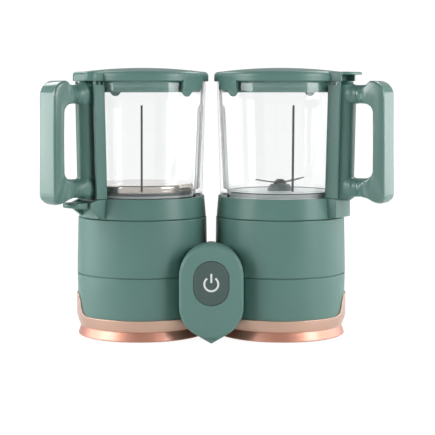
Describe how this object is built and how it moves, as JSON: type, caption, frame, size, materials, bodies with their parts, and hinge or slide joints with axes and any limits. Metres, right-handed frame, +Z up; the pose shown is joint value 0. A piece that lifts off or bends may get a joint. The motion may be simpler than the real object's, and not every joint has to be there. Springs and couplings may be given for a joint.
{
  "type": "baby food maker",
  "caption": "Twin-base baby food maker with a steam jug and a blender jug of glass, lids, handles, a drop-shaped control pod with a push button, and copper foot rings.",
  "frame": {"origin": "on the table, midway between the axes of the two bases, under the bridge", "axes": "+Z up, +X to the viewer's right towards the blender base, +Y away from the control pod"},
  "size_m": [0.3369, 0.1589, 0.2627],
  "materials": {
    "green_shell": "satin",
    "face_green": "satin",
    "grip_green": "soft satin",
    "button_grey": "matt",
    "copper": "metallised, rose copper",
    "glass": "clear, polished",
    "dark_plastic": "fine grain",
    "rubber": "matt",
    "silicone": "translucent matt",
    "steel": "polished",
    "zinc_steel": "zinc plated",
    "motor_can": "bare",
    "bronze": "sintered",
    "board": "solder mask"
  },
  "bodies": {
    "base": {"left_foot_ring": "copper", "right_foot_ring": "copper", "left_lower_band": "green_shell", "right_lower_band": "green_shell", "left_upper_housing": "green_shell", "right_upper_housing": "green_shell", "left_base_plate": "dark_plastic", "right_base_plate": "dark_plastic", "left_deck": "dark_plastic", "right_deck": "dark_plastic", "rubber_feet": "rubber", "base_screws": "zinc_steel", "bridge": "green_shell", "bridge_foot": "rubber", "pod_housing": "green_shell", "pod_face": "face_green", "control_board": "board", "button_switch": "dark_plastic", "base_connector": "dark_plastic", "power_board": "board", "motor_cradle": "dark_plastic", "motor": "motor_can", "shaft_bearing": "bronze", "cord_gland": "dark_plastic"},
    "button": {"power_button": "button_grey"},
    "rotor": {"motor_shaft": "steel", "cooling_fan": "dark_plastic", "drive_coupling": "dark_plastic"},
    "left_jug": {"left_collar": "green_shell", "left_glass": "glass", "left_jug_seal": "silicone", "left_handle_bracket": "green_shell", "left_handle_grip": "grip_green", "left_handle_screws": "zinc_steel", "steam_dish": "steel", "heating_element": "steel", "jug_connector": "dark_plastic", "lever_pin": "steel"},
    "lever": {"release_lever": "green_shell"},
    "right_jug": {"right_collar": "green_shell", "right_glass": "glass", "right_jug_seal": "silicone", "right_handle_bracket": "green_shell", "right_handle_grip": "grip_green", "right_handle_screws": "zinc_steel", "blade_base": "dark_plastic", "blade_bearing": "bronze"},
    "blades": {"driven_coupling": "dark_plastic", "blade_shaft": "steel", "lower_blades": "steel", "upper_blades": "steel", "blade_nut": "steel"},
    "left_lid": {"left_lid": "green_shell", "left_lid_seal": "silicone"},
    "right_lid": {"right_lid": "green_shell", "right_lid_seal": "silicone"}
  },
  "joints": [
    {"name": "button_press", "type": "slide", "parent": "base", "child": "button", "axis": [0, 1, 0], "range_m": [0, 0.0015], "stiffness_N_per_m": 900, "springref_m": -0.0005},
    {"name": "motor_spin", "type": "hinge", "parent": "base", "child": "rotor", "pos_m": [0.0683, 0, 0.1], "axis": [0, 0, 1], "continuous": true},
    {"name": "left_jug_lift", "type": "slide", "parent": "base", "child": "left_jug", "axis": [0, 0, 1], "range_m": [0, 0.08]},
    {"name": "right_jug_lift", "type": "slide", "parent": "base", "child": "right_jug", "axis": [0, 0, 1], "range_m": [0, 0.08]},
    {"name": "left_lid_lift", "type": "slide", "parent": "left_jug", "child": "left_lid", "axis": [0, 0, 1], "range_m": [0, 0.12]},
    {"name": "right_lid_lift", "type": "slide", "parent": "right_jug", "child": "right_lid", "axis": [0, 0, 1], "range_m": [0, 0.12]},
    {"name": "lever_turn", "type": "hinge", "parent": "left_jug", "child": "lever", "pos_m": [-0.12106, -0.04751, 0.1298], "axis": [0.6691, -0.7431, 0], "range_deg": [0, 14], "stiffness_Nm_per_rad": 0.4, "springref_deg": -5.73},
    {"name": "blade_spin", "type": "hinge", "parent": "right_jug", "child": "blades", "pos_m": [0.0683, 0, 0.148], "axis": [0, 0, 1], "continuous": true}
  ],
  "couplings": [
    {"joint": "blade_spin", "follows": "motor_spin", "ratio": 1}
  ]
}
